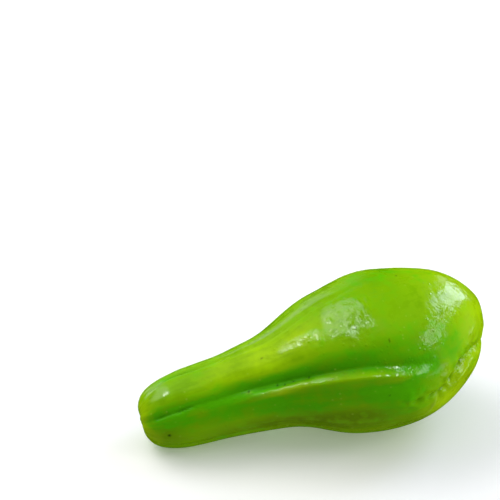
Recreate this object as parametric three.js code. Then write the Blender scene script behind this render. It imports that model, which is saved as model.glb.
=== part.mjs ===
// A chayote squash, picked and lying on its side: one grown fruit, so one solid.
// Millimetres, +Z up. X runs from the stem end (-X) to the blossom end (+X), and the origin is on the
// resting surface under the middle of the fruit. The skin is a pear turned from its profile, carried
// onto a slightly bent centre line, and then drawn in along the furrows that run down the fruit.
import * as THREE from "three";
import { mergeVertices } from "three/addons/utils/BufferGeometryUtils.js";

// The body. Each list is a smooth curve's stations, evenly spaced from the stem end to the blossom end.
const bodyLength = 160.1;
const fullness = [55.8, 35.4, 25.7, 20.9, 22.9, 37, 43.8, 43.6, 45, 25]; // radius over an ellipse's sine
const broadness = [0.99, 1, 1.08, 1.16, 1]; // the width is multiplied by this and the height divided by it
const centreHeight = [13.4, 21, 31.3, 33.6, 51.3];
const centreBend = [0, -3, -4.4, -3.4, 0]; // along Y

// The folds of the skin. A path is a list of [distance from the stem end, degrees round the body], where
// 0 degrees faces -Y and 90 faces up. Depths are spread evenly along the path, and a ridge has negative
// ones. Reach is how far the slope runs to each side of someone walking along the path on the skin.
const folds = [
  {
    name: "side furrow",
    path: [[2, 25], [9, 33.5], [20, 36.5], [35, 36], [47, 37], [62, 34.5], [78, 33.3], [93, 33],
      [105, 30], [115, 26.5], [124, 21]],
    depth: [0.2, 1.3, 0.9, 1.9, 2.9, 2.9, 2.7, 2.4, 0.6],
    reach: { right: [4, 5, 5, 5, 6, 8, 8], left: [5, 8, 10, 14, 20, 20] },
  },
  {
    name: "shoulder under the side furrow",
    path: [[36, 22], [48, 26], [62, 26], [78, 26], [93, 25.5], [107, 21.5], [117, 17], [125, 11]],
    depth: [0, -0.9, -1.5, -1.8, -2.1, -2.4, -1.6, 0],
    reach: { right: [7, 6.5, 7, 8], left: [4, 4.5, 5, 5.5] },
  },
  {
    name: "top furrow",
    path: [[2.5, 88], [8, 95], [17, 101], [25.5, 98], [38, 96.5], [52, 92.5], [66, 92], [78, 92.5],
      [92, 95], [104, 98], [118, 102]],
    depth: [0.4, 0.9, 1, 0.8, 0.7, 0.6, 0.6, 0.6, 0.5, 0.3, 0.1],
    reach: { right: [3, 3, 4, 4, 5], left: [3, 4, 4, 5, 5] },
  },
  {
    name: "far furrow",
    path: [[2, 182], [14, 178], [35, 176], [60, 178], [85, 180], [108, 181], [128, 188], [141, 200]],
    depth: [0.8, 1.5, 1.4, 2.2, 2.8, 2.8, 3, 3],
    reach: { right: [4, 6, 9, 12, 12, 9], left: [4, 6, 9, 14, 14, 10] },
  },
  {
    name: "under furrow",
    path: [[2.5, 254], [14, 251], [35, 249], [60, 250], [85, 252], [108, 251], [128, 250], [142, 254],
      [151, 262]],
    depth: [0.8, 1.3, 1.4, 1.5, 1.8, 1.9, 2.2, 2.8, 2.6],
    reach: { right: [4, 6, 8, 9, 9, 8, 8], left: [4, 6, 8, 9, 9, 8, 8] },
  },
  {
    name: "low furrow",
    path: [[2.5, 320], [14, 323], [35, 324], [60, 322], [84, 321], [102, 321], [111, 324], [117, 332]],
    depth: [0.6, 0.9, 0.7, 0.6, 0.6, 0.7, 0.7, 0.2],
    reach: { right: [4, 6, 8, 9, 8, 7], left: [4, 6, 8, 10, 10, 8] },
  },
  {
    name: "blossom cleft",
    path: [[111, -2], [118.5, -4], [123.5, -4], [129, -1], [135, 2.7], [140, 2], [144.5, -1.5],
      [149, -12], [153.5, -50], [154, -110], [149, -148], [141.5, -159]],
    depth: [0.2, 0.7, 1.2, 1.7, 2.1, 1.9, 1.5, 1.7, 2.6, 3.4, 3.8, 3.6, 2.8],
    reach: { right: [4, 6, 8, 8, 7, 6], left: [4, 6, 8, 9, 8, 7] },
  },
  {
    name: "lip of the cleft",
    path: [[124, -12], [129.5, -8], [134.5, -6], [138.5, -6], [142, -8], [145, -13]],
    depth: [0, -0.6, -1.1, -1.4, -1.2, -0.4],
    reach: { right: [12], left: [4] },
  },
];
const creaseRounding = 0.8; // rounds the bottom of each fold
const foldSharpness = 2.2; // how much steeper a fold's slope is near its line

// The stem end: a shallow recess with the cork scar of the stalk standing in it.
const stemRecess = { depth: 1, radius: 4.6 };
const stemScar = { height: 0.6, radius: 2.2 };

// Slow unevenness of the flesh, as heights of waves along and round the body.
const unevenness = [
  { height: 0.35, wavesAlong: 2.3, wavesRound: 2, start: 0.6 },
  { height: 0.3, wavesAlong: 3.6, wavesRound: 3, start: 2.1 },
  { height: 0.22, wavesAlong: 5.2, wavesRound: 5, start: 4 },
];

// The fruit settles by this much, which presses small flats under the belly and under the neck.
const settling = 0.5;

// The mesh. Rings stand closer at the two ends, by this share.
const ringCount = 72;
const sideCount = 80;
const endCrowding = 0.3;

const skin = new THREE.MeshStandardMaterial({ color: 0x6fae0e, roughness: 0.3, metalness: 0 });

// A smooth curve drawn near even stations, at a share of 0 to 1: a cubic B-spline, straight past its ends.
function along(stations, share) {
  const last = stations.length - 1;
  if (last === 0) return stations[0];
  const station = (i) => {
    if (i < 0) return 2 * stations[0] - stations[1];
    if (i > last) return 2 * stations[last] - stations[last - 1];
    return stations[i];
  };
  const place = THREE.MathUtils.clamp(share, 0, 1) * last;
  const first = Math.min(Math.floor(place), last - 1);
  const t = place - first;
  const weights = [
    (1 - t) ** 3,
    3 * t ** 3 - 6 * t ** 2 + 4,
    -3 * t ** 3 + 3 * t ** 2 + 3 * t + 1,
    t ** 3,
  ];
  return weights.reduce((sum, weight, i) => sum + weight * station(first - 1 + i), 0) / 6;
}

// The body's distance and radius at a share of the half turn from the stem end to the blossom end.
function profileAt(turn) {
  const distance = (bodyLength * (1 - Math.cos(Math.PI * turn))) / 2;
  return new THREE.Vector2(along(fullness, turn) * Math.sin(Math.PI * turn), distance);
}

function radiusAt(distance) {
  return profileAt(Math.acos(1 - (2 * distance) / bodyLength) / Math.PI).x;
}

function centreAt(distance) {
  const share = distance / bodyLength;
  return new THREE.Vector3(distance, along(centreBend, share), along(centreHeight, share));
}

// A point of the body round its bent centre line, before any fold.
function bodyPoint(distance, radius, angle) {
  const step = 0.5;
  const ahead = centreAt(Math.min(bodyLength, distance + step));
  const behind = centreAt(Math.max(0, distance - step));
  const forward = ahead.sub(behind).normalize();
  const side = new THREE.Vector3().crossVectors(forward, new THREE.Vector3(0, 0, 1)).normalize();
  const top = new THREE.Vector3().crossVectors(side, forward);
  const broad = along(broadness, distance / bodyLength);
  return centreAt(distance)
    .addScaledVector(side, radius * broad * Math.cos(angle))
    .addScaledVector(top, (radius / broad) * Math.sin(angle));
}

// The pear's profile, as [radius, distance] points spaced evenly along the skin but for the crowding.
function profile() {
  const fineCount = 1500;
  const fine = [];
  const reached = [0];
  for (let i = 0; i <= fineCount; i++) fine.push(profileAt(i / fineCount));
  for (let i = 1; i <= fineCount; i++) reached.push(reached[i - 1] + fine[i].distanceTo(fine[i - 1]));
  const points = [];
  let next = 0;
  for (let ring = 0; ring <= ringCount; ring++) {
    const share = ring / ringCount;
    const crowded = share - (endCrowding * Math.sin(2 * Math.PI * share)) / (2 * Math.PI);
    const target = crowded * reached[fineCount];
    while (next < fineCount - 1 && reached[next + 1] < target) next++;
    const part = (target - reached[next]) / (reached[next + 1] - reached[next]);
    points.push(new THREE.Vector2().lerpVectors(fine[next], fine[next + 1], part));
  }
  points[0].x = 0;
  points[ringCount].x = 0;
  return points;
}

// A fold's line on the body, as evenly spaced points.
function foldLine(path) {
  const spacing = 1.5;
  const onSkin = path.map(([distance, degrees]) =>
    bodyPoint(distance, radiusAt(distance), THREE.MathUtils.degToRad(degrees)));
  const line = new THREE.CatmullRomCurve3(onSkin, false, "catmullrom");
  return line.getSpacedPoints(Math.ceil(line.getLength() / spacing));
}

// How far a fold draws in a point of the skin.
function foldDepth(fold, line, point, normal) {
  let nearest = Infinity;
  let share = 0;
  const offset = new THREE.Vector3();
  const walk = new THREE.Vector3();
  const step = new THREE.Vector3();
  const toPoint = new THREE.Vector3();
  for (let i = 0; i + 1 < line.length; i++) {
    step.subVectors(line[i + 1], line[i]);
    toPoint.subVectors(point, line[i]);
    const part = THREE.MathUtils.clamp(toPoint.dot(step) / step.lengthSq(), 0, 1);
    toPoint.addScaledVector(step, -part);
    if (toPoint.length() < nearest) {
      nearest = toPoint.length();
      share = (i + part) / (line.length - 1);
      offset.copy(toPoint);
      walk.copy(step);
    }
  }
  const left = new THREE.Vector3().crossVectors(normal, walk).dot(offset) > 0;
  const reach = along(left ? fold.reach.left : fold.reach.right, share);
  const away = Math.hypot(nearest, creaseRounding) / reach;
  return away < 1 ? along(fold.depth, share) * (1 - away) ** foldSharpness : 0;
}

// The dimple and scar at the stem end, as a depth.
function stemEndDepth(distance, radius) {
  if (distance > bodyLength / 2) return 0;
  const bowl = stemRecess.depth * Math.exp(-((radius / stemRecess.radius) ** 4));
  const cork = stemScar.height * Math.exp(-((radius / stemScar.radius) ** 6));
  return bowl - cork;
}

function unevennessAt(distance, angle) {
  const share = distance / bodyLength;
  let height = 0;
  for (const wave of unevenness) {
    const round = wave.start + Math.cos(wave.wavesRound * angle);
    height += wave.height * Math.sin(2 * Math.PI * wave.wavesAlong * share + round);
  }
  return height * Math.sin(Math.PI * share);
}

// How far the skin moves out at a point: ridges, folds, the stem end and the slow unevenness.
function skinShift(lines, point, normal, { distance, radius, angle }) {
  let raised = 0;
  let sunkCubed = 0;
  folds.forEach((fold, i) => {
    const depth = foldDepth(fold, lines[i], point, normal);
    if (depth < 0) raised -= depth;
    else sunkCubed += depth ** 3;
  });
  return raised - Math.cbrt(sunkCubed) - stemEndDepth(distance, radius) + unevennessAt(distance, angle);
}

function fruitGeometry() {
  const turned = new THREE.LatheGeometry(profile(), sideCount);
  turned.deleteAttribute("normal");
  turned.deleteAttribute("uv");
  const geometry = mergeVertices(turned);
  const places = geometry.getAttribute("position");

  // Carry the straight pear onto the centre line.
  const spots = [];
  for (let i = 0; i < places.count; i++) {
    const radius = Math.hypot(places.getX(i), places.getZ(i));
    const angle = Math.atan2(places.getX(i), -places.getZ(i));
    const distance = places.getY(i);
    const point = bodyPoint(distance, radius, angle);
    spots.push({ distance, radius, angle });
    places.setXYZ(i, point.x, point.y, point.z);
  }
  geometry.computeVertexNormals();

  // Draw the skin in along the folds, then settle the fruit on its resting surface.
  const normals = geometry.getAttribute("normal");
  const lines = folds.map((fold) => foldLine(fold.path));
  const point = new THREE.Vector3();
  const normal = new THREE.Vector3();
  for (let i = 0; i < places.count; i++) {
    point.fromBufferAttribute(places, i);
    normal.fromBufferAttribute(normals, i);
    point.addScaledVector(normal, skinShift(lines, point, normal, spots[i]));
    places.setXYZ(i, point.x, point.y, Math.max(0, point.z - settling));
  }
  geometry.deleteAttribute("normal");

  // Stand the middle of the fruit's box over the origin.
  geometry.computeBoundingBox();
  const middle = geometry.boundingBox.getCenter(new THREE.Vector3());
  return geometry.translate(-middle.x, -middle.y, 0);
}

const fruit = new THREE.Mesh(fruitGeometry(), skin);
fruit.name = "chayote_fruit";

const chayote = new THREE.Group();
chayote.add(fruit);

export default chayote;
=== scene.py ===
import math

import bpy
import numpy as np
from mathutils import Matrix, Quaternion, Vector, noise


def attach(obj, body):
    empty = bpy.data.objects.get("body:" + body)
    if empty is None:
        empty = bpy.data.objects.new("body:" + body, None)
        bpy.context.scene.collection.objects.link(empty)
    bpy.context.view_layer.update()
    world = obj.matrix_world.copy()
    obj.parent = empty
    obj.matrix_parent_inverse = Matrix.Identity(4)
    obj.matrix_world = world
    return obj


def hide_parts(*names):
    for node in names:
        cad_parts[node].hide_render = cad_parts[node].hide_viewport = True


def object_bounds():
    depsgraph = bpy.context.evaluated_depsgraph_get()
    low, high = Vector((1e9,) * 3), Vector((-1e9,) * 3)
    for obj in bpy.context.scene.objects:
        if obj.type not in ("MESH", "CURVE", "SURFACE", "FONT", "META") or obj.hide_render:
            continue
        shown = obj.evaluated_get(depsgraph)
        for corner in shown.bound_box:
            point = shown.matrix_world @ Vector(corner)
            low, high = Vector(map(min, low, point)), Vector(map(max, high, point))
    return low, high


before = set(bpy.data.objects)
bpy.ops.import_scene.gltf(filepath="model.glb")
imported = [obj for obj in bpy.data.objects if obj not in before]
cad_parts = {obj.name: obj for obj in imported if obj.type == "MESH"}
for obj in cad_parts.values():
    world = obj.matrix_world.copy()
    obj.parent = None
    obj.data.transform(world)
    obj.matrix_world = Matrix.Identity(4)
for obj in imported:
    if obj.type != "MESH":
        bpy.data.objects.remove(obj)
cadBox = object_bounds()
mm = 0.001

# camera
cameraView = dict(
    elevation=30.0,  # degrees above the table
    azimuth=-16.1,  # degrees round the fruit, 0 looks along +Y
    distance=700.0,  # mm from the aim point
    aim=(0.0, 0.0, 25.0),  # mm, before the framing shift
    shiftRight=-29.1,  # mm the frame is moved along its own right
    shiftUp=57.2,  # mm the frame is moved along its own up
    lens=110.9,  # mm
    sensor=36,  # mm
)


def makeCamera():
    azimuth, elevation = math.radians(cameraView["azimuth"]), math.radians(cameraView["elevation"])
    back = Vector((math.sin(azimuth) * math.cos(elevation), -math.cos(azimuth) * math.cos(elevation),
                   math.sin(elevation)))
    right = Vector((math.cos(azimuth), math.sin(azimuth), 0))
    up = back.cross(right)
    aim = Vector(cameraView["aim"]) + right * cameraView["shiftRight"] + up * cameraView["shiftUp"]
    data = bpy.data.cameras.new("camera")
    data.lens = cameraView["lens"]
    data.sensor_width = cameraView["sensor"]
    camera = bpy.data.objects.new("camera", data)
    camera.matrix_world = Matrix.Translation((aim + back * cameraView["distance"]) * mm) @ Matrix(
        (right, up, back)).transposed().to_4x4()
    bpy.context.scene.collection.objects.link(camera)
    bpy.context.scene.camera = camera


makeCamera()
print("camera set")

# shape of the fruit, with lengths in mm
# Lists give values at even stations from the stem end to the blossom end.
body = dict(
    length=160.1,
    fullness=[55.8, 35.4, 25.7, 20.9, 22.9, 37, 43.8, 43.6, 45, 25],  # at even turns of a half circle
    broadness=[0.99, 1, 1.08, 1.16, 1],  # half-width and 1 / half-height, over half-thickness
    centreHeight=[13.4, 21, 31.3, 33.6, 51.3],
    centreBend=[0, -3, -4.4, -3.4, 0],  # along Y
    settling=0.5,  # how far the fruit sinks on to the flats it rests on
    headingStep=0.5,  # how far to each side the centre line is read, to find which way it runs
)

# Paths are (distance from the stem end, degrees round the body); 0 degrees faces -Y, 90 faces up.
# A ridge has negative depths. right and left are how far the slope runs, for someone walking the path.
folds = [
    dict(name="side furrow", green=0.8, greenReach=4.5,
         path=[(2, 25), (9, 33.5), (20, 36.5), (35, 36), (47, 37), (62, 34.5), (78, 33.3), (93, 33),
               (105, 30), (115, 26.5), (124, 21)],
         depth=[0.2, 1.3, 0.9, 1.9, 2.9, 2.9, 2.7, 2.4, 0.6],
         right=[4, 5, 5, 5, 6, 8, 8], left=[5, 8, 10, 14, 20, 20]),
    dict(name="side furrow shoulder", green=0,
         path=[(36, 22), (48, 26), (62, 26), (78, 26), (93, 25.5), (107, 21.5), (117, 17), (125, 11)],
         depth=[0, -0.9, -1.5, -1.8, -2.1, -2.4, -1.6, 0],
         right=[7, 6.5, 7, 8], left=[4, 4.5, 5, 5.5]),
    dict(name="top furrow", green=0.2,
         path=[(2.5, 88), (8, 95), (17, 101), (25.5, 98), (38, 96.5), (52, 92.5), (66, 92), (78, 92.5),
               (92, 95), (104, 98), (118, 102)],
         depth=[0.4, 0.9, 1, 0.8, 0.7, 0.6, 0.6, 0.6, 0.5, 0.3, 0.1],
         right=[3, 3, 4, 4, 5], left=[3, 4, 4, 5, 5]),
    dict(name="far furrow", green=0.8, greenReach=9,
         path=[(2, 182), (14, 178), (35, 176), (60, 178), (85, 180), (108, 181), (128, 188), (141, 200)],
         depth=[0.8, 1.5, 1.4, 2.2, 2.8, 2.8, 3, 3],
         right=[4, 6, 9, 12, 12, 9], left=[4, 6, 9, 14, 14, 10]),
    dict(name="under furrow", green=0.8, greenReach=8,
         path=[(2.5, 254), (14, 251), (35, 249), (60, 250), (85, 252), (108, 251), (128, 250), (142, 254),
               (151, 262)],
         depth=[0.8, 1.3, 1.4, 1.5, 1.8, 1.9, 2.2, 2.8, 2.6],
         right=[4, 6, 8, 9, 9, 8, 8], left=[4, 6, 8, 9, 9, 8, 8]),
    dict(name="low furrow", green=0.3,
         path=[(2.5, 320), (14, 323), (35, 324), (60, 322), (84, 321), (102, 321), (111, 324), (117, 332)],
         depth=[0.6, 0.9, 0.7, 0.6, 0.6, 0.7, 0.7, 0.2],
         right=[4, 6, 8, 9, 8, 7], left=[4, 6, 8, 10, 10, 8]),
    dict(name="blossom cleft", green=0.15,
         path=[(111, -2), (118.5, -4), (123.5, -4), (129, -1), (135, 2.7), (140, 2), (144.5, -1.5),
               (149, -12), (153.5, -50), (154, -110), (149, -148), (141.5, -159)],
         depth=[0.2, 0.7, 1.2, 1.7, 2.1, 1.9, 1.5, 1.7, 2.6, 3.4, 3.8, 3.6, 2.8],
         right=[4, 6, 8, 8, 7, 6], left=[4, 6, 8, 9, 8, 7]),
    dict(name="cleft lip", green=0,
         path=[(124, -12), (129.5, -8), (134.5, -6), (138.5, -6), (142, -8), (145, -13)],
         depth=[0, -0.6, -1.1, -1.4, -1.2, -0.4],
         right=[12], left=[4]),
]

# Lines on the skin that are too fine for the solid, given in the same way.
fineLines = [
    dict(name="edge of the ledge", green=0,
         path=[(46, 32.5), (50, 29), (54, 27.6), (57, 28.8), (60, 26.6), (63, 28.8), (66, 28), (69, 29.8),
               (72, 28.4), (75, 30.5), (79, 29.6), (84, 31)],
         depth=[0, -0.6, -0.9, -0.6, -0.9, -0.6, 0], right=[2.4], left=[1.4]),
    dict(name="bump by the ledge", green=0, path=[(46.3, 33.6), (48.1, 33.2), (50, 32.4)],
         depth=[0, -1.4, 0], right=[1.3], left=[1.3]),
    dict(name="crease over the ledge", green=0.2,
         path=[(50, 33), (55, 32), (60, 31), (65, 31), (70, 31.5), (76, 31)],
         depth=[0, 1.1, 0.5, 1.2, 0.4, 0.9, 0], right=[1.2], left=[1.6]),
    dict(name="crease by the stem", green=0.3,
         path=[(5, 28.5), (8, 32), (11, 33), (14, 34), (17.5, 34), (21, 35.5), (25, 36)],
         depth=[0, 1.8, 1.2, 0.5, 1.6, 1.2, 0], right=[1.5], left=[2]),
    dict(name="thin ridge", green=0,
         path=[(123, -3), (121.5, -5.5), (119.2, -12), (117, -18.5), (113.5, -28)],
         depth=[0, -1.0, -1.2, -1.0, 0], right=[1.5], left=[1.5]),
    dict(name="first pucker", green=0, path=[(132, 1), (135.2, 2.7), (139, 3.5)],
         depth=[0, 3, 0], right=[2.4], left=[2.6]),
    dict(name="second pucker", green=0, path=[(127.2, -3), (129.2, -1), (131, 1.5)],
         depth=[0, 3, 0], right=[2], left=[2]),
    dict(name="third pucker", green=0, path=[(120.5, -4), (123.4, -3.7), (126.5, -3)],
         depth=[0, 3, 0], right=[2], left=[2.2]),
    dict(name="fourth pucker", green=0, path=[(115.5, -4.5), (118.6, -3.8), (121, -2.5)],
         depth=[0, 2.4, 0], right=[1.8], left=[2]),
    dict(name="dark nick", green=0, path=[(109.5, -3), (112.7, -2.5), (115.5, -1.5)],
         depth=[0, 2.6, 0], right=[1.8], left=[1.8]),
    dict(name="line of the top furrow", green=0, path=[(10, 97), (18, 101.8), (25.5, 98.3), (32, 95)],
         depth=[0, 1, 1, 0], right=[1.5], left=[1.8]),
]
lineShade = 1.5  # a fine line gets the painted crease shade of a fold this many times as deep

foldSettings = dict(
    spacing=0.8,  # mm between the points on a fold's line
    stepsPerKnot=40,
    sharpness=2.2,
    rounding=0.5,  # mm that the bottom of a fold is rounded, at most
    roundingShare=0.2,  # and as a share of how far the fold runs, at most
    greenReach=5,  # mm that the green spreads from a fold that names no reach
    pointsAtOnce=4000,
)

stemEnd = dict(recess=1.0, recessRadius=4.6, scar=0.6, scarRadius=2.2)

# Slow unevenness of the flesh: height, waves along, waves round, start.
unevenness = [(0.35, 2.3, 2, 0.6), (0.3, 3.6, 3, 2.1), (0.22, 5.2, 5, 4)]

fineSkin = dict(
    rings=320, sides=300,
    profileSteps=3000,  # steps in which the outline is measured, to space the rings
    inset=0.1,  # mm the skin lies inside the solid, which leaves room for the grain
    # grain of the skin: height, size round the fruit, size along it, all in mm
    grain=[(0.26, 12, 22), (0.13, 5, 8)],
    grainSeed=(3.1, 7.7, 5.3),
    seedSpread=100,  # keeps the two sizes of grain from lining up
    wrinkle=(0.3, 2.4),  # height and size of the wrinkles, mm
    lineRadius=28,  # mm, the radius at which the grain has its size
    pucker=(1.0, 3.0),  # height and size of the puckers along the cleft, mm
    smoothTip=6,  # mm from the blossom end over which the grain fades away
)

# Patches on the skin: share of the length from the stem end, degrees round, half-length as a share,
# half-width in degrees, amount. Ripe, deep and olive set the colour: sun and ripening yellow the crests
# and the ends, deep makes the skin a deeper green, and olive makes it darker and browner, most of all
# below. Some ripe and deep patches are painted light and painted shade, as said over their lists.
# Wax and wrinkled say where the wax is thick and where the skin wrinkles. A negative amount takes away.
pigments = dict(
    # Painted light among the ripe patches: those along the ledge, at about 20 to 27 degrees from share 0.37
    # to 0.71, are a painted highlight, and those low on the blossom end, at about -20 degrees from share
    # 0.76 to 0.93, are painted light and painted reflection.
    ripeAndLit=[(0.47, 72, 0.06, 12, 0.5), (0.34, 74, 0.14, 28, 0.65), (1.02, 0, 0.14, 400, 0.95),
          (-0.01, 0, 0.045, 400, 1.0), (0.7, 130, 0.2, 30, 0.3), (0.84, -22, 0.07, 30, 0.9),
          (0.76, -22, 0.05, 14, 0.7), (0.93, -20, 0.05, 16, 0.5), (0.43, 27, 0.09, 3, 0.8),
          (0.37, 24, 0.04, 3, 0.7), (0.6, 26.5, 0.08, 2.5, 0.5), (0.71, 19.5, 0.06, 3, 0.5),
          (0.5, -36, 0.3, 9, 0.4), (0.27, 35, 0.05, 4, 0.4)],
    # Painted shade and light among the deep patches: the one over the side furrow at share 0.6, 43 degrees,
    # is partly painted shade, the one on the top edge of the belly at share 0.72, 108 degrees, is painted
    # shade, and the negative one below the ledge at share 0.65, 20 degrees, is painted light.
    deep=[(0.32, 70, 0.12, 27, -0.6), (0.7, 85, 0.12, 20, 0.3), (0.85, 17, 0.03, 12, 0.4),
          (0.6, 43, 0.13, 6, 0.9), (0.42, 40, 0.1, 6, 0.5), (0.29, 48, 0.05, 6, 0.5),
          (0.26, 22, 0.04, 6, 0.4), (0.38, 23, 0.06, 4, -0.7), (0.65, 20, 0.06, 4, -0.4),
          (0.22, 38, 0.17, 8, 0.7), (0.62, 12, 0.14, 9, 0.85), (0.42, 13, 0.16, 10, 1.0),
          (0.3, 10, 0.14, 13, 0.6), (0.13, 14, 0.08, 14, 0.6), (0.42, 3, 0.08, 9, 0.6),
          (0.78, 32, 0.09, 15, 0.6), (0.66, -4, 0.06, 14, 0.7), (0.72, 108, 0.12, 13, 0.4),
          (0.19, 84, 0.06, 16, 0.35), (0.8, 115, 0.03, 8, 0.6), (-0.01, 20, 0.04, 60, -0.9)],
    olive=[(0.06, 5, 0.05, 25, 0.6), (0.25, 70, 0.2, 45, -0.7), (0.92, 0, 0.08, 50, -0.4),
           (0.75, 100, 0.12, 18, 0.45), (0.42, -20, 0.22, 16, 1.0), (0.55, -8, 0.08, 9, 0.5),
           (0.5, 280, 0.6, 50, 0.7), (0.5, 230, 0.5, 30, 0.5)],
    wax=[(0.57, 78, 0.06, 12, 0.6), (0.585, 60, 0.012, 12, 0.7), (0.62, 56, 0.02, 6, -0.6),
         (0.85, 17, 0.03, 9, -0.9), (0.49, 79, 0.035, 5, -0.6), (0.625, 68, 0.025, 16, 0.6),
         (0.47, 69, 0.05, 5, 0.8), (0.5, 87, 0.04, 7, -0.6), (0.52, 74, 0.008, 8, -0.5),
         (0.36, 102, 0.22, 4, 0.6), (0.67, 104, 0.06, 9, -0.8), (0.38, 68, 0.03, 8, -0.3),
         (0.06, 70, 0.035, 22, 1.0), (0.04, 94, 0.03, 10, 0.8), (0.12, 34, 0.06, 4, -0.4),
         (0.41, 28, 0.1, 4, 0.5), (0.555, 30, 0.03, 5, -0.8), (0.42, 32, 0.13, 2.2, -0.8),
         (0.65, 23, 0.06, 4, 0.8), (0.6, 27, 0.03, 4, -0.35), (0.7, 23, 0.06, 7, 1.0),
         (0.8, 37, 0.05, 10, 0.7), (0.9, 62, 0.12, 30, 0.6), (0.86, -1, 0.08, 10, 1.0),
         (0.25, 85, 0.15, 30, -0.6), (0.66, 50, 0.06, 10, -0.4), (0.74, 95, 0.1, 16, -0.4),
         (0.91, 33, 0.04, 12, -0.8)],
    wrinkled=[(0.63, 70, 0.03, 20, 1.0), (0.565, 84, 0.012, 5, 0.9), (0.55, 76, 0.01, 4, 0.8),
              (0.575, 70, 0.012, 4, 0.8), (0.47, 71, 0.05, 8, 0.9), (0.555, 62, 0.03, 6, 1.0),
              (0.39, 68, 0.03, 8, 0.9), (0.07, 70, 0.03, 18, 0.3), (0.69, 23, 0.06, 7, 1.0),
              (0.6, 63, 0.025, 16, 1.0), (0.8, 36, 0.03, 8, 1), (0.92, 64, 0.07, 20, 0.5),
              (0.88, 52, 0.03, 12, 0.4), (0.88, 42, 0.04, 8, 0.8), (0.83, 45, 0.03, 9, 0.9),
              (0.86, 0, 0.08, 8, 0.7), (0.43, 28, 0.14, 4, 0.9), (0.12, 33, 0.06, 5, 0.8),
              (0.6, 190, 0.2, 30, 0.5), (0.3, 230, 0.1, 30, 0.5), (0.75, 130, 0.1, 20, 0.5)],
)

# Marks on the skin: distance from the stem end, degrees round, radius in mm, depth in mm.
marks = [(10.8, -1.7, 0.7, 0.25), (107.7, 47.4, 0.5, 0.1), (48.2, 34.5, 0.5, 0.15), (96, 62, 0.35, 0.06),
         (60, 32.5, 0.5, 0.2), (63, 31.5, 0.35, 0.2), (66.5, 32.5, 0.35, 0.2), (72.5, 33, 0.4, 0.2),
         (58, 70, 0.4, 0.06), (101, 8, 0.4, 0.08), (64, 140, 0.7, 0.15), (118, 150, 0.8, 0.15),
         (95, 215, 0.7, 0.2), (38, 205, 0.5, 0.1), (131, 100, 0.5, 0.1), (76, 205, 0.6, 0.15)]

# Low blisters that catch the light: distance from the stem end, degrees round, half-length along
# the fruit, half-width round it and height, in mm.
blisters = [(95, 67, 0.8, 1.6, 0.3), (94, 63, 0.7, 1.2, 0.3), (93, 57, 0.8, 1.5, 0.3),
            (99, 68, 0.8, 1.2, 0.3), (104, 77, 0.8, 1.8, 0.4), (102.5, 83, 0.8, 1.4, 0.4),
            (107, 82, 0.7, 1.5, 0.4), (92, 50.5, 0.8, 1.2, 0.3), (91, 60.5, 1.0, 1.0, 0.25),
            (91.5, 84, 1.1, 0.9, 0.3), (92, 78, 0.9, 1.1, 0.3), (87.5, 76, 1.0, 0.9, 0.25),
            (82, 61, 0.8, 1.8, 0.3), (79.5, 57, 0.9, 1.0, 0.25), (94, 71.5, 0.8, 1.0, 0.25),
            (75.5, 83, 1.3, 0.9, 0.3), (77, 84, 0.9, 0.9, 0.25), (71.5, 72.5, 1.2, 0.9, 0.3),
            (69.5, 73, 0.8, 0.8, 0.25), (105.5, 75, 0.8, 1.3, 0.3), (101, 72, 0.7, 1.6, 0.3)]


def along(stations, share):
    # a smooth curve drawn near even stations: a cubic B-spline, straight past its ends
    values = np.asarray(stations, float)
    last = len(values) - 1
    if last == 0:
        return np.full(np.shape(share), values[0])
    values = np.concatenate([[2 * values[0] - values[1]], values, [2 * values[-1] - values[-2]]])
    place = np.clip(share, 0, 1) * last
    first = np.minimum(place.astype(int), last - 1)
    t = place - first
    return (values[first] * (1 - t) ** 3 + values[first + 1] * (3 * t ** 3 - 6 * t ** 2 + 4)
            + values[first + 2] * (-3 * t ** 3 + 3 * t ** 2 + 3 * t + 1) + values[first + 3] * t ** 3) / 6


def profileAt(turn):
    # distance and radius of an ellipse whose thickness follows the fullness
    distance = body["length"] * (1 - np.cos(np.pi * turn)) / 2
    return distance, along(body["fullness"], turn) * np.sin(np.pi * turn)


def radiusAt(distance):
    turn = np.arccos(np.clip(1 - 2 * distance / body["length"], -1, 1)) / np.pi
    return profileAt(turn)[1]


def centreAt(distance):
    share = distance / body["length"]
    return np.stack([distance - body["length"] / 2, along(body["centreBend"], share),
                     along(body["centreHeight"], share)], -1)


def unit(vectors):
    return vectors / np.maximum(np.linalg.norm(vectors, axis=-1, keepdims=True), 1e-12)


def bodyPoint(distance, radius, angle):
    ahead = centreAt(np.minimum(distance + body["headingStep"], body["length"]))
    behind = centreAt(np.maximum(distance - body["headingStep"], 0))
    forward = unit(ahead - behind)
    side = unit(np.cross(forward, [0, 0, 1.0]))
    top = np.cross(side, forward)
    broad = along(body["broadness"], distance / body["length"])
    return (centreAt(distance) + (radius * broad * np.cos(angle))[..., None] * side
            + (radius / broad * np.sin(angle))[..., None] * top)


def ringPlaces():
    # distances of the rings, even along the skin
    fine, radii = profileAt(np.linspace(0, 1, fineSkin["profileSteps"] + 1))
    reached = np.concatenate([[0], np.cumsum(np.hypot(np.diff(fine), np.diff(radii)))])
    targets = np.linspace(0, reached[-1], fineSkin["rings"] + 1)
    return np.interp(targets, reached, fine), np.interp(targets, reached, radii)


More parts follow.
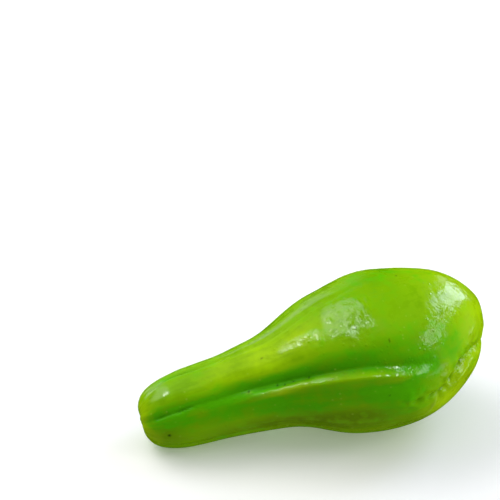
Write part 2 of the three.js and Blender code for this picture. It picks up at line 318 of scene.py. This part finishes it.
def foldLine(path):
    # evenly spaced points on a curve through the path
    knots = np.array(path, float)
    points = bodyPoint(knots[:, 0], radiusAt(knots[:, 0]), np.radians(knots[:, 1]))
    points = np.vstack([2 * points[0] - points[1], points, 2 * points[-1] - points[-2]])
    curve = []
    for k in range(1, len(points) - 2):
        t = np.linspace(0, 1, foldSettings["stepsPerKnot"], endpoint=False)[:, None]
        a, b, c, d = points[k - 1:k + 3]
        m0, m1 = (c - a) / 2, (d - b) / 2
        curve.append((2 * b - 2 * c + m0 + m1) * t ** 3 + (3 * c - 3 * b - 2 * m0 - m1) * t ** 2
                     + m0 * t + b)
    curve = np.vstack(curve + [points[-2:-1]])
    length = np.concatenate([[0], np.cumsum(np.linalg.norm(np.diff(curve, axis=0), axis=1))])
    even = np.linspace(0, length[-1], int(math.ceil(length[-1] / foldSettings["spacing"])) + 1)
    return np.stack([np.interp(even, length, curve[:, k]) for k in range(3)], -1)


def foldDepth(fold, places, normals):
    # depth of a fold at each point, in mm, and how near its line is, from 0 to 1
    line = foldLine(fold["path"])
    greenReach = fold.get("greenReach", foldSettings["greenReach"])
    widest = max(fold["right"] + fold["left"] + [2 * greenReach])
    inside = np.all((places > line.min(0) - widest) & (places < line.max(0) + widest), axis=1)
    depth = np.zeros(len(places))
    near = places[inside]
    closeness = np.zeros(len(places))
    if not len(near):
        return depth, closeness
    nearest = np.empty(len(near), int)
    for start in range(0, len(near), foldSettings["pointsAtOnce"]):
        some = slice(start, start + foldSettings["pointsAtOnce"])
        gaps = ((near[some, None] - line[None]) ** 2).sum(2)
        nearest[some] = gaps.argmin(1)
    best = np.full(len(near), np.inf)
    share = np.zeros(len(near))
    offset = np.zeros_like(near)
    walk = np.zeros_like(near)
    for shift in (-1, 0):
        first = np.clip(nearest + shift, 0, len(line) - 2)
        step = line[first + 1] - line[first]
        gap = near - line[first]
        part = np.clip((gap * step).sum(1) / (step * step).sum(1), 0, 1)
        gap = gap - part[:, None] * step
        size = np.linalg.norm(gap, axis=1)
        closer = size < best
        best[closer] = size[closer]
        share[closer] = ((first + part) / (len(line) - 1))[closer]
        offset[closer] = gap[closer]
        walk[closer] = step[closer]
    left = (np.cross(normals[inside], walk) * offset).sum(1) > 0
    reach = np.where(left, along(fold["left"], share), along(fold["right"], share))
    rounding = np.minimum(foldSettings["rounding"], foldSettings["roundingShare"] * reach)
    away = np.hypot(best, rounding) / reach
    depth[inside] = along(fold["depth"], share) * np.clip(1 - away, 0, 1) ** foldSettings["sharpness"]
    closeness[inside] = np.exp(-(best / greenReach) ** 2)
    return depth, closeness


def gridNormals(grid):
    # outward normals of a (ring, side, xyz) grid
    alongStep = np.gradient(grid, axis=0)
    roundStep = np.roll(grid, -1, 1) - np.roll(grid, 1, 1)
    normals = unit(np.cross(roundStep, alongStep))
    outward = grid - grid.mean(1, keepdims=True)
    if (normals * outward).sum() < 0:
        normals = -normals
    normals[0] = [-1, 0, 0]
    normals[-1] = [1, 0, 0]
    return normals


def grainAt(grown):
    # fine grain of the skin, as heights in mm, from noise on the skin measured along and round
    heights = np.zeros(len(grown))
    for height, around, lengthwise in fineSkin["grain"]:
        start = np.array(fineSkin["grainSeed"]) * height * fineSkin["seedSpread"]
        spots = grown / (lengthwise, around, around) + start
        heights += height * np.array([noise.noise(spot) for spot in spots.tolist()])
    return heights


def bumpsAt(straight, name):
    # round bumps of even size, as heights in mm
    height, size = fineSkin[name]
    spots = straight / size + np.array(fineSkin["grainSeed"])
    return height * np.array([noise.noise(spot) for spot in spots.tolist()])


def pigmentAt(name, share, angle):
    # amount of a pigment, of wax or of wrinkling, from -1 to 1, from its patches
    amount = np.zeros(len(share))
    for patch in pigments[name]:
        turn = (angle - math.radians(patch[1]) + np.pi) % (2 * np.pi) - np.pi
        away = ((share - patch[0]) / patch[2]) ** 2 + (turn / math.radians(patch[3])) ** 2
        amount += patch[4] * np.exp(-away)
    return np.clip(amount, -1, 1)


def markDepth(distance, angle):
    # round pits at the marks, as depth in mm and as a share for the colour
    depth, share = np.zeros(len(distance)), np.zeros(len(distance))
    for markDistance, degrees, size, deep in marks:
        turn = (angle - math.radians(degrees) + np.pi) % (2 * np.pi) - np.pi
        gap = np.hypot(distance - markDistance, turn * radiusAt(markDistance)) / size
        depth += deep * np.exp(-gap ** 2)
        share = np.maximum(share, np.exp(-gap ** 4))
    return depth, share


def blisterHeight(distance, angle):
    # heights of the blisters, in mm
    height = np.zeros(len(distance))
    for blisterDistance, degrees, halfLength, halfWidth, high in blisters:
        turn = (angle - math.radians(degrees) + np.pi) % (2 * np.pi) - np.pi
        across = turn * radiusAt(blisterDistance)
        away = ((distance - blisterDistance) / halfLength) ** 2 + (across / halfWidth) ** 2
        height += high * np.exp(-away)
    return height


def shapeSkin():
    # places of the skin's points in mm, and what the material needs to know at each of them
    distances, radii = ringPlaces()
    angles = np.linspace(0, 2 * np.pi, fineSkin["sides"], endpoint=False)
    distance, angle = np.meshgrid(distances, angles, indexing="ij")
    radius = np.repeat(radii[:, None], len(angles), 1)
    grid = bodyPoint(distance, radius, angle)
    normals = gridNormals(grid)
    places, outward = grid.reshape(-1, 3), normals.reshape(-1, 3)
    distance, angle, radius = distance.ravel(), angle.ravel(), radius.ravel()
    straight = np.stack([distance, radius * np.cos(angle), radius * np.sin(angle)], -1)
    walked = np.interp(distance, distances, np.concatenate([[0], np.cumsum(
        np.hypot(np.diff(distances), np.diff(radii)))]))
    grown = np.stack([walked, fineSkin["lineRadius"] * np.cos(angle),
                      fineSkin["lineRadius"] * np.sin(angle)], -1)
    depths, closeness = map(np.array, zip(*(foldDepth(fold, places, outward) for fold in folds)))
    greens = np.array([fold["green"] for fold in folds])
    puckered = closeness[[fold["name"] for fold in folds].index("blossom cleft")]
    lines = sum(foldDepth(line, places, outward)[0] for line in fineLines)
    sunk = np.cbrt((np.clip(depths, 0, None) ** 3).sum(0))
    raised = np.clip(-depths, 0, None).sum(0)
    share = distance / body["length"]
    slow = sum(height * np.sin(2 * np.pi * wavesAlong * share + start + np.cos(wavesRound * angle))
               for height, wavesAlong, wavesRound, start in unevenness) * np.sin(np.pi * share)
    bowl = stemEnd["recess"] * np.exp(-(radius / stemEnd["recessRadius"]) ** 4)
    cork = stemEnd["scar"] * np.exp(-(radius / stemEnd["scarRadius"]) ** 6)
    pits, markShare = markDepth(distance, angle)
    shift = raised - sunk + slow - np.where(share < 0.5, bowl - cork, 0)
    pigment = {name: pigmentAt(name, share, angle) for name in pigments}
    beforeTip = np.clip((body["length"] - distance) / fineSkin["smoothTip"], 0, 1)
    shift += grainAt(grown) * beforeTip
    shift += bumpsAt(straight, "pucker") * puckered + bumpsAt(straight, "wrinkle") * pigment["wrinkled"]
    shift += blisterHeight(distance, angle) - lines - pits - fineSkin["inset"]
    places = places + outward * shift[:, None]
    places[:, 2] = np.maximum(0, places[:, 2] - body["settling"])
    places[:, :2] -= (places.min(0) + places.max(0))[:2] / 2
    solidSize = (np.array(cadBox[1]) - np.array(cadBox[0])) / mm
    places *= np.minimum(1, solidSize / np.ptp(places, 0))  # the grain stays inside the solid's size
    return dict(places=places, straight=straight, grown=grown, rings=len(distances), sides=len(angles),
                # sunk carries the painted crease shade of the folds and fine lines to the material
                furrow=(closeness * greens[:, None]).max(0), sunk=sunk + lineShade * np.clip(lines, 0, 1),
                # crest carries the painted highlight on the raised fine lines to the material
                crest=np.clip(-lines, 0, 1), mark=markShare, **pigment)


def makeFruit():
    skin = shapeSkin()
    rings, sides = skin["rings"], skin["sides"]
    index = np.arange(rings * sides).reshape(rings, sides)
    index[0], index[-1] = index[0, 0], index[-1, 0]  # one point at each end
    following = np.roll(index, -1, 1)
    quads = np.stack([index[:-1], index[1:], following[1:], following[:-1]], -1).reshape(-1, 4)
    used = np.unique(quads)
    renumber = np.zeros(rings * sides, int)
    renumber[used] = np.arange(len(used))
    faces = [list(dict.fromkeys(quad)) for quad in renumber[quads].tolist()]
    mesh = bpy.data.meshes.new("chayoteSkin")
    mesh.from_pydata((skin["places"][used] * mm).tolist(), [], faces)
    mesh.shade_smooth()
    for name in ("straight", "grown"):  # mm on the straightened fruit, and mm along and round it
        layer = mesh.attributes.new(name, "FLOAT_VECTOR", "POINT")
        layer.data.foreach_set("vector", skin[name][used].ravel())
    for name in ("furrow", "sunk", "crest", "mark", *pigments):
        layer = mesh.attributes.new(name, "FLOAT", "POINT")
        layer.data.foreach_set("value", skin[name][used])
    fruit = bpy.data.objects.new("chayoteSkin", mesh)
    bpy.context.scene.collection.objects.link(fruit)
    return fruit


fruit = makeFruit()
print("skin shaped:", len(fruit.data.vertices), "points")


# materials
def linear(hexColour):
    # sRGB hex to linear, with alpha
    values = [int(hexColour[k:k + 2], 16) / 255 for k in (1, 3, 5)]
    return [v / 12.92 if v <= 0.04045 else ((v + 0.055) / 1.055) ** 2.4 for v in values] + [1.0]


def addNode(tree, kind, wires=None, **settings):
    # one node with its settings; wires fill its inputs with values, sockets or a node's first live output
    node = tree.nodes.new("ShaderNode" + kind)
    for name, value in settings.items():
        setattr(node, name, value)
    for socket, value in (wires or {}).items():
        if isinstance(value, bpy.types.Node):
            value = next(output for output in value.outputs if output.enabled)
        if isinstance(value, bpy.types.NodeSocket):
            tree.links.new(value, node.inputs[socket])
        else:
            node.inputs[socket].default_value = value
    return node


# Chayote rind: a thin living skin under natural wax, grown over ribs, washed and still damp.
# The wax gives a soft sheen with crisp glints on the grain; the green is deepest beside the furrows, and
# painted shade darkens the creases.
rind = dict(
    green="#80bb00",
    # the furrow green is the skin's own beside the furrows, and also painted shade where deep patches
    # darken the skin
    furrowGreenAndShade="#54b400",
    # the crease green is painted shade in the folds and fine lines
    creaseShadeGreen="#247000",
    # the ripe yellow is the skin's own, and also painted highlight and painted light in some ripe patches
    ripeAndLitYellow="#a8d200",
    lowOlive="#679000",
    # the pale colour is the flecks' own, and also a painted highlight on the crests of the thin ridges
    paleFleckAndHighlight="#b4d650",
    darkMark="#1f3a06",
    cloud=17, cloudy=0.25,  # mm, and how much the clouds change the pigments
    mottle=4.5, mottled=0.2,  # mm, and how much
    streakAround=2.4, streakAlong=26, streaky=0.15,  # mm, mm, and how much
    streaksEnd=152, streaksFade=16,  # mm from the stem end, and mm before it over which they fade
    oliveUneven=1.0, ripeUneven=0.8, deepUneven=1.4,  # how far each pigment follows the unevenness
    mostUneven=0.4,  # unevenness at which the brightness and the roughness are at their ends
    dimmest=0.88, brightest=1.1,  # times the colour
    deepFrom=0.1,  # less of the deep pigment than this doesn't show
    creaseFrom=0.8, creaseTo=3.2, creaseShade=0.5,  # mm deep, mm deep, and share of the painted crease shade
    crestHighlight=0.55, fleckPale=0.3, markDark=0.9,  # shares of the painted crest highlight, the pale flecks and the dark marks
    fleck=3.2,  # mm between flecks
    fleckEdge=0.2, fleckCore=0.06,  # shares of a fleck's cell
    fleckedFrom=0.6, fleckedTo=0.7,  # which cells have a fleck, and which have a full one
    ior=1.45,
    specular=0.04,
    roughness=0.28, smoother=0.06, rougher=0.08,  # and how far it goes down and up
    coatRoughness=0.1,
    waxPatch=14,  # mm between thick and thin wax
    waxFrom=0.42, waxTo=0.85,  # where the uneven wax starts and where it is whole
    edgeFrom=0.6, edgeTo=0.95, edgeWax=0.25,  # where the skin turns away, and how much wax is left there
    pore=0.9, poreHeight=0.03,  # mm, coarser than real pores, which wouldn't show
    wrinkle=1.1, wrinkleHeight=0.25,  # mm
    pimple=2.8, pimpleHeight=0.09,  # mm apart and mm high
    pimpleEdge=0.28, pimpleTop=0.05,  # shares of a pimple's cell
    pimpledFrom=0.45, pimpledTo=0.6,  # which cells have a pimple, and which have a full one
    wrinkledPimple=3,  # times as high where the skin is wrinkled
)
noiseLow, noiseHigh = 0.3, 0.7  # most of a noise texture lies between these


def rindMaterial():
    material = bpy.data.materials.new("chayoteRind")
    material.use_nodes = True
    tree = material.node_tree
    shader = tree.nodes["Principled BSDF"]
    straight = addNode(tree, "Attribute", attribute_name="straight").outputs["Vector"]
    grown = addNode(tree, "Attribute", attribute_name="grown").outputs["Vector"]
    furrow, sunk, crest, mark, ripeAndLit, deep, olive, wax, wrinkled = (
        addNode(tree, "Attribute", attribute_name=name).outputs["Fac"]
        for name in ("furrow", "sunk", "crest", "mark", *pigments))

    # unevenness of the pigment: clouds, mottles, and streaks that end before the blossom end
    clouds = addNode(tree, "TexNoise", {"Vector": straight, "Scale": 1 / rind["cloud"], "Detail": 3})
    cloudy = addNode(tree, "MapRange", {
        0: clouds, 1: noiseLow, 2: noiseHigh, 3: -rind["cloudy"], 4: rind["cloudy"]})
    stretched = addNode(tree, "Mapping", {
        "Vector": grown,
        "Scale": (1 / rind["streakAlong"], 1 / rind["streakAround"], 1 / rind["streakAround"])})
    streaks = addNode(tree, "TexNoise", {"Vector": stretched, "Scale": 1, "Detail": 4})
    streaky = addNode(tree, "MapRange", {
        0: streaks, 1: noiseLow, 2: noiseHigh, 3: -rind["streaky"], 4: rind["streaky"]})
    distance = addNode(tree, "SeparateXYZ", {0: straight})
    beforeEnd = addNode(tree, "MapRange", {
        0: distance, 1: rind["streaksEnd"], 2: rind["streaksEnd"] - rind["streaksFade"]})
    streaky = addNode(tree, "Math", {0: streaky, 1: beforeEnd}, operation="MULTIPLY")
    mottles = addNode(tree, "TexNoise", {"Vector": straight, "Scale": 1 / rind["mottle"], "Detail": 4})
    mottled = addNode(tree, "MapRange", {
        0: mottles, 1: noiseLow, 2: noiseHigh, 3: -rind["mottled"], 4: rind["mottled"]})
    uneven = addNode(tree, "Math", {0: cloudy, 1: streaky}, operation="ADD")
    uneven = addNode(tree, "Math", {0: uneven, 1: mottled}, operation="ADD")

    # colour: olive below, yellower where ripe, greener where deep or near a furrow, and darkest in creases,
    # where the shade is painted; some ripe patches are painted highlight and painted light, and some deep
    # patches painted shade
    olive = addNode(tree, "Math", {0: uneven, 1: rind["oliveUneven"], 2: olive}, operation="MULTIPLY_ADD",
                    use_clamp=True)
    ripeAndLit = addNode(tree, "Math", {0: uneven, 1: rind["ripeUneven"], 2: ripeAndLit}, operation="MULTIPLY_ADD",
                   use_clamp=True)
    deep = addNode(tree, "Math", {0: furrow, 1: deep}, operation="ADD")
    deep = addNode(tree, "Math", {0: uneven, 1: rind["deepUneven"], 2: deep}, operation="MULTIPLY_ADD")
    deep = addNode(tree, "MapRange", {0: deep, 1: rind["deepFrom"], 2: 1.0})
    # painted crease shade: the deeper a fold or fine line sinks, the more of the dark crease green
    crease = addNode(tree, "MapRange", {
        0: sunk, 1: rind["creaseFrom"], 2: rind["creaseTo"], 3: 0, 4: rind["creaseShade"]})
    green, lowOlive = linear(rind["green"]), linear(rind["lowOlive"])
    colour = addNode(tree, "Mix", {0: olive, 6: green, 7: lowOlive}, data_type="RGBA")
    colour = addNode(tree, "Mix", {0: ripeAndLit, 6: colour, 7: linear(rind["ripeAndLitYellow"])}, data_type="RGBA")
    colour = addNode(tree, "Mix", {0: deep, 6: colour, 7: linear(rind["furrowGreenAndShade"])}, data_type="RGBA")
    colour = addNode(tree, "Mix", {0: crease, 6: colour, 7: linear(rind["creaseShadeGreen"])}, data_type="RGBA")
    lightness = addNode(tree, "MapRange", {
        0: uneven, 1: -rind["mostUneven"], 2: rind["mostUneven"], 3: rind["dimmest"], 4: rind["brightest"]})
    colour = addNode(tree, "HueSaturation", {"Value": lightness, "Color": colour})

    # painted highlight on the crests of the thin ridges, pale flecks in about a third of the cells, and the
    # dark marks
    crest = addNode(tree, "Math", {0: crest, 1: rind["crestHighlight"]}, operation="MULTIPLY")
    colour = addNode(tree, "Mix", {0: crest, 6: colour, 7: linear(rind["paleFleckAndHighlight"])}, data_type="RGBA")
    flecks = addNode(tree, "TexVoronoi", {"Vector": straight, "Scale": 1 / rind["fleck"]})
    fleck = addNode(tree, "MapRange", {
        0: flecks, 1: rind["fleckEdge"], 2: rind["fleckCore"], 3: 0, 4: rind["fleckPale"]})
    someCells = addNode(tree, "SeparateColor", {0: flecks.outputs["Color"]})
    someCells = addNode(tree, "MapRange", {
        0: someCells, 1: rind["fleckedFrom"], 2: rind["fleckedTo"]})
    fleck = addNode(tree, "Math", {0: fleck, 1: someCells}, operation="MULTIPLY")
    colour = addNode(tree, "Mix", {0: fleck, 6: colour, 7: linear(rind["paleFleckAndHighlight"])}, data_type="RGBA")
    mark = addNode(tree, "Math", {0: mark, 1: rind["markDark"]}, operation="MULTIPLY")
    colour = addNode(tree, "Mix", {0: mark, 6: colour, 7: linear(rind["darkMark"])}, data_type="RGBA")
    tree.links.new(colour.outputs[2], shader.inputs["Base Color"])

    # sheen of the rind, under a coat of wax that is thick in patches and rubbed off at the turning edge
    shader.inputs["IOR"].default_value = rind["ior"]
    shader.inputs["Specular IOR Level"].default_value = rind["specular"]
    rough = addNode(tree, "MapRange", {
        0: uneven, 1: -rind["mostUneven"], 2: rind["mostUneven"],
        3: rind["roughness"] - rind["smoother"], 4: rind["roughness"] + rind["rougher"]})
    tree.links.new(rough.outputs[0], shader.inputs["Roughness"])
    waxed = addNode(tree, "TexNoise", {"Vector": straight, "Scale": 1 / rind["waxPatch"], "Detail": 3})
    waxed = addNode(tree, "Math", {0: waxed, 1: wax}, operation="ADD")
    waxed = addNode(tree, "MapRange", {0: waxed, 1: rind["waxFrom"], 2: rind["waxTo"]})
    facing = addNode(tree, "LayerWeight", {"Blend": 0.5}).outputs["Facing"]
    facing = addNode(tree, "MapRange", {
        0: facing, 1: rind["edgeFrom"], 2: rind["edgeTo"], 3: 1.0, 4: rind["edgeWax"]})
    waxed = addNode(tree, "Math", {0: waxed, 1: facing}, operation="MULTIPLY")
    tree.links.new(waxed.outputs[0], shader.inputs["Coat Weight"])
    shader.inputs["Coat Roughness"].default_value = rind["coatRoughness"]

    # relief too fine for the mesh: pores all over, low pimples in half the cells, and wrinkles in places
    pores = addNode(tree, "TexNoise", {"Vector": straight, "Scale": 1 / rind["pore"], "Detail": 2})
    relief = addNode(tree, "Math", {0: pores, 1: rind["poreHeight"]}, operation="MULTIPLY")
    pimples = addNode(tree, "TexVoronoi", {"Vector": straight, "Scale": 1 / rind["pimple"]})
    domes = addNode(tree, "MapRange", {
        0: pimples, 1: rind["pimpleEdge"], 2: rind["pimpleTop"], 3: 0, 4: rind["pimpleHeight"]})
    someCells = addNode(tree, "SeparateColor", {0: pimples.outputs["Color"]})
    someCells = addNode(tree, "MapRange", {
        0: someCells, 1: rind["pimpledFrom"], 2: rind["pimpledTo"]})
    domes = addNode(tree, "Math", {0: domes, 1: someCells}, operation="MULTIPLY")
    higher = addNode(tree, "MapRange", {0: wrinkled, 3: 1, 4: rind["wrinkledPimple"]})
    relief = addNode(tree, "Math", {0: domes, 1: higher, 2: relief}, operation="MULTIPLY_ADD")
    wrinkles = addNode(tree, "TexNoise", {"Vector": straight, "Scale": 1 / rind["wrinkle"], "Detail": 2})
    wrinkles = addNode(tree, "Math", {0: wrinkles, 1: rind["wrinkleHeight"]}, operation="MULTIPLY")
    relief = addNode(tree, "Math", {0: wrinkles, 1: wrinkled, 2: relief}, operation="MULTIPLY_ADD")
    bump = addNode(tree, "Bump", {"Strength": 1, "Distance": mm, "Height": relief})
    tree.links.new(bump.outputs[0], shader.inputs["Normal"])
    tree.links.new(bump.outputs[0], shader.inputs["Coat Normal"])
    return material


fruit.data.materials.append(rindMaterial())
print("rind material made")

# floor, lights
floorPaint = dict(
    colour="#f4f4f2",
    roughness=0.85,
    specular=0.1,
    glow=0.15,  # lit from below, like a light table
    size=8.0,  # m
)


def makeFloor():
    half = floorPaint["size"] / 2
    mesh = bpy.data.meshes.new("floor")
    corners = [(-half, -half, 0), (half, -half, 0), (half, half, 0), (-half, half, 0)]
    mesh.from_pydata(corners, [], [(0, 1, 2, 3)])
    floor = bpy.data.objects.new("floor", mesh)
    bpy.context.scene.collection.objects.link(floor)
    paint = bpy.data.materials.new("paleMattPaint")
    paint.use_nodes = True
    shader = paint.node_tree.nodes["Principled BSDF"]
    shader.inputs["Base Color"].default_value = linear(floorPaint["colour"])
    shader.inputs["Roughness"].default_value = floorPaint["roughness"]
    shader.inputs["Specular IOR Level"].default_value = floorPaint["specular"]
    shader.inputs["Emission Color"].default_value = linear(floorPaint["colour"])
    shader.inputs["Emission Strength"].default_value = floorPaint["glow"]
    mesh.materials.append(paint)
    floor.visible_glossy = False
    floor.visible_diffuse = False


makeFloor()

# Lights: where each stands in degrees round and degrees up, how wide and tall it looks in degrees,
# how far it is turned, and its brightness, where 1 is a white wall in full light. With lighting=False
# a light is only mirrored in the wax, and with mirrored=False it only gives light.
lights = [
    dict(name="tallWindow", round=115, up=32, wide=22, tall=42, turn=33, brightness=3.0,
         tint=(0.86, 0.9, 1.4)),
    dict(name="windowGlow", round=116, up=31, wide=31, tall=52, turn=33, brightness=1.1, lighting=False),
    dict(name="highSheet", round=-155, up=57, wide=40, tall=28, turn=25, brightness=1.8),
    dict(name="softSheet", round=-134, up=42, wide=36, tall=20, turn=0, brightness=1.45, tint=(1, 1, 0.85)),
    dict(name="smallWindow", round=57, up=41, wide=20, tall=21, turn=26, brightness=3.2),
    dict(name="lowWindow", round=92, up=6, wide=16, tall=14, turn=0, brightness=2.0),
    dict(name="slit", round=-117, up=53, wide=5, tall=7, turn=0, brightness=22, lighting=False),
    dict(name="highSlit", round=-20, up=86, wide=9, tall=9, turn=0, brightness=24, lighting=False),
    dict(name="sideSlit", round=-100, up=72, wide=3.5, tall=5, turn=0, brightness=40, lighting=False),
    dict(name="endWindow", round=-150, up=12, wide=14, tall=22, turn=0, brightness=2.2),
    dict(name="sideCard", round=62, up=3, wide=30, tall=14, turn=0, brightness=1.6),
    dict(name="farWall", round=-174, up=14, wide=34, tall=22, turn=0, brightness=0.8),
    dict(name="leftFill", round=-125, up=45, wide=50, tall=40, turn=0, brightness=1.5, mirrored=False),
    dict(name="rightFill", round=64, up=2, wide=60, tall=40, turn=0, brightness=1.65, mirrored=False),
]
lightDistance = 0.9  # m
lightAim = (0.01, 0, 0.035)  # m, in the belly
surroundings = dict(level=0.28, overhead=0.54, fromTable=0.42)  # brightness of the plain room


def makeLights():
    aim = Vector(lightAim)
    for lamp in lights:
        azimuth, elevation = math.radians(lamp["round"]), math.radians(lamp["up"])
        towards = Vector((math.sin(azimuth) * math.cos(elevation), -math.cos(azimuth) * math.cos(elevation),
                          math.sin(elevation)))
        data = bpy.data.lights.new(lamp["name"], "AREA")
        data.shape = "RECTANGLE"
        data.size = 2 * lightDistance * math.tan(math.radians(lamp["wide"] / 2))
        data.size_y = 2 * lightDistance * math.tan(math.radians(lamp["tall"] / 2))
        data.color = lamp.get("tint", (1, 1, 1))
        data.energy = lamp["brightness"] * data.size * data.size_y * math.pi
        light = bpy.data.objects.new(lamp["name"], data)
        light.location = aim + towards * lightDistance
        facing = (-towards).to_track_quat("-Z", "Y")
        light.rotation_euler = (facing @ Quaternion((0, 0, 1), math.radians(lamp["turn"]))).to_euler()
        light.visible_glossy = lamp.get("mirrored", True)
        light.visible_diffuse = lamp.get("lighting", True)
        bpy.context.scene.collection.objects.link(light)
    room = bpy.data.worlds.new("surroundings")
    room.use_nodes = True
    direction = addNode(room.node_tree, "TexCoord").outputs["Generated"]
    upward = addNode(room.node_tree, "SeparateXYZ", {0: direction})
    # the room grows lighter overhead, and lighter still below, where the pale table throws light up
    above = addNode(room.node_tree, "MapRange", {
        0: upward.outputs[2], 1: 0.0, 2: 1.0, 3: surroundings["level"], 4: surroundings["overhead"]})
    below = addNode(room.node_tree, "MapRange", {
        0: upward.outputs[2], 1: 0.0, 2: -1.0, 3: 0.0, 4: surroundings["fromTable"]})
    strength = addNode(room.node_tree, "Math", {0: above, 1: below}, operation="ADD")
    sky = room.node_tree.nodes["Background"]
    sky.inputs["Color"].default_value = (1, 1, 1, 1)
    room.node_tree.links.new(strength.outputs[0], sky.inputs["Strength"])
    room.cycles_visibility.glossy = False  # the wax mirrors the windows, not the pale room
    bpy.context.scene.world = room
    bpy.context.scene.view_settings.view_transform = "Standard"


makeLights()
print("floor and lights set")

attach(fruit, "root")
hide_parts("chayote_fruit")
